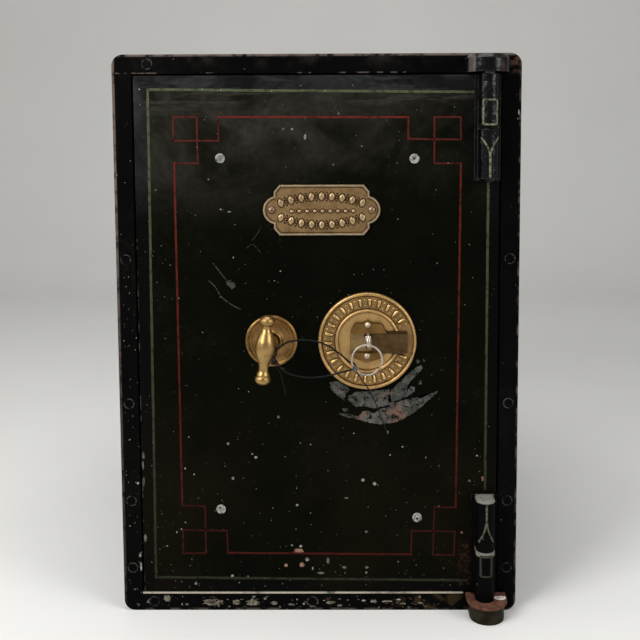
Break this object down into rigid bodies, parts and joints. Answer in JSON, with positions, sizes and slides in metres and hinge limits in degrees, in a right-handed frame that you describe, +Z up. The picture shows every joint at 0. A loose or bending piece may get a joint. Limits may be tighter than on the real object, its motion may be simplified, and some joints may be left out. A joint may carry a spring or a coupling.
{
  "type": "floor safe",
  "caption": "Old upright floor safe: bent steel body, hinged fire-resisting door with handle-driven bolts, key lock, brass escutcheon and name plate, lined chamber with a shelf.",
  "frame": {"origin": "middle of the body's footprint, on the floor", "axes": "+Z up, +Y from the door into the safe, +X to the right of someone who faces the door"},
  "size_m": [0.432, 0.5003, 0.61],
  "materials": {
    "body_paint": "old black gloss paint, worn to metal on the edges",
    "door_paint": "old bottle-green paint with specks and scratches",
    "casing_paint": "dull dark paint",
    "lining_paint": "aged cream paint",
    "bracket_iron": "rusted and scuffed",
    "bare_steel": "dull, oiled",
    "key_steel": "worn bright",
    "brass": "polished on the high parts, tarnished in the hollows",
    "plate_brass": "dull, stippled",
    "cover_brass": "dark tarnish",
    "fire_filling": "rough plaster",
    "nylon": "black nylon"
  },
  "bodies": {
    "cabinet": {"outer_shell": "body_paint", "back_plate": "body_paint", "back_rivets": "body_paint", "front_top_rail": "body_paint", "front_bottom_rail": "body_paint", "front_left_jamb": "body_paint", "front_right_jamb": "body_paint", "frame_rivets": "body_paint", "inner_lining": "lining_paint", "fire_filling": "fire_filling", "shelf": "lining_paint", "shelf_angles": "lining_paint", "shelf_rivets": "lining_paint", "upper_hinge_bracket": "bracket_iron", "lower_hinge_bracket": "bracket_iron", "upper_hinge_pin": "bare_steel", "lower_hinge_pin": "bare_steel"},
    "door": {"door_plate": "door_paint", "door_casing": "casing_paint", "casing_screws": "bare_steel", "door_filling": "bare_steel", "door_plugs": "bare_steel", "upper_hinge_leaf": "door_paint", "lower_hinge_leaf": "door_paint", "leaf_rivets": "bare_steel", "hinge_dogs": "bare_steel", "name_plate": "plate_brass", "name_plate_rivets": "plate_brass", "lock_escutcheon": "brass", "keyhole_housing": "brass", "cover_keepers": "brass", "keeper_screws": "bare_steel", "handle_rose": "brass", "spindle_bush": "brass", "bolt_guides": "bare_steel", "lock_case": "bare_steel", "lock_cap": "bare_steel", "lock_levers": "brass", "lever_pivot": "bare_steel", "lever_springs": "bare_steel", "lock_screws": "bare_steel", "neck_tie": "nylon", "key_tie": "nylon", "tie_heads": "nylon"},
    "handle": {"handle_grip": "brass", "handle_neck": "brass", "handle_spindle": "bare_steel", "handle_crank": "bare_steel", "spindle_nut": "bare_steel"},
    "bolt_work": {"bolt_bar": "bare_steel", "upper_bolt": "bare_steel", "lower_bolt": "bare_steel", "bolt_rivets": "bare_steel"},
    "key_barrel": {"lock_barrel": "brass"},
    "locking_bolt": {"lock_bolt": "bare_steel"},
    "key": {"key": "key_steel"},
    "ring": {"key_ring": "key_steel"},
    "cover": {"keyhole_cover": "cover_brass"}
  },
  "joints": [
    {"name": "door_swing", "type": "hinge", "parent": "cabinet", "child": "door", "pos_m": [0.18, -0.229, 0.305], "axis": [0, 0, 1], "range_deg": [0, 170]},
    {"name": "handle_turn", "type": "hinge", "parent": "door", "child": "handle", "pos_m": [-0.0501, -0.215, 0.3035], "axis": [0, 1, 0], "range_deg": [0, 90]},
    {"name": "bolt_throw", "type": "slide", "parent": "door", "child": "bolt_work", "axis": [-1, 0, 0], "range_m": [0, 0.018]},
    {"name": "key_turn", "type": "hinge", "parent": "door", "child": "key_barrel", "pos_m": [0.0537, -0.215, 0.3089], "axis": [0, 1, 0], "range_deg": [0, 360], "deforming": ["key_tie", "tie_heads"]},
    {"name": "lock_throw", "type": "slide", "parent": "door", "child": "locking_bolt", "axis": [0, 0, 1], "range_m": [0, 0.009]},
    {"name": "key_pull", "type": "slide", "parent": "key_barrel", "child": "key", "axis": [0, -1, 0], "range_m": [0, 0.25]},
    {"name": "cover_slide", "type": "slide", "parent": "door", "child": "cover", "axis": [-1, 0, 0], "range_m": [0, 0.0125]},
    {"name": "ring_swing", "type": "hinge", "parent": "key", "child": "ring", "pos_m": [0.0537, -0.239, 0.3042], "axis": [-1, 0, 0], "range_deg": [-15, 75]}
  ],
  "couplings": [
    {"joint": "handle_turn", "follows": "bolt_throw", "rad_per_m": 87.266},
    {"joint": "key_turn", "follows": "lock_throw", "rad_per_m": 698.13},
    {"joint": "cover_slide", "follows": "key_pull", "ratio": 0.05}
  ]
}
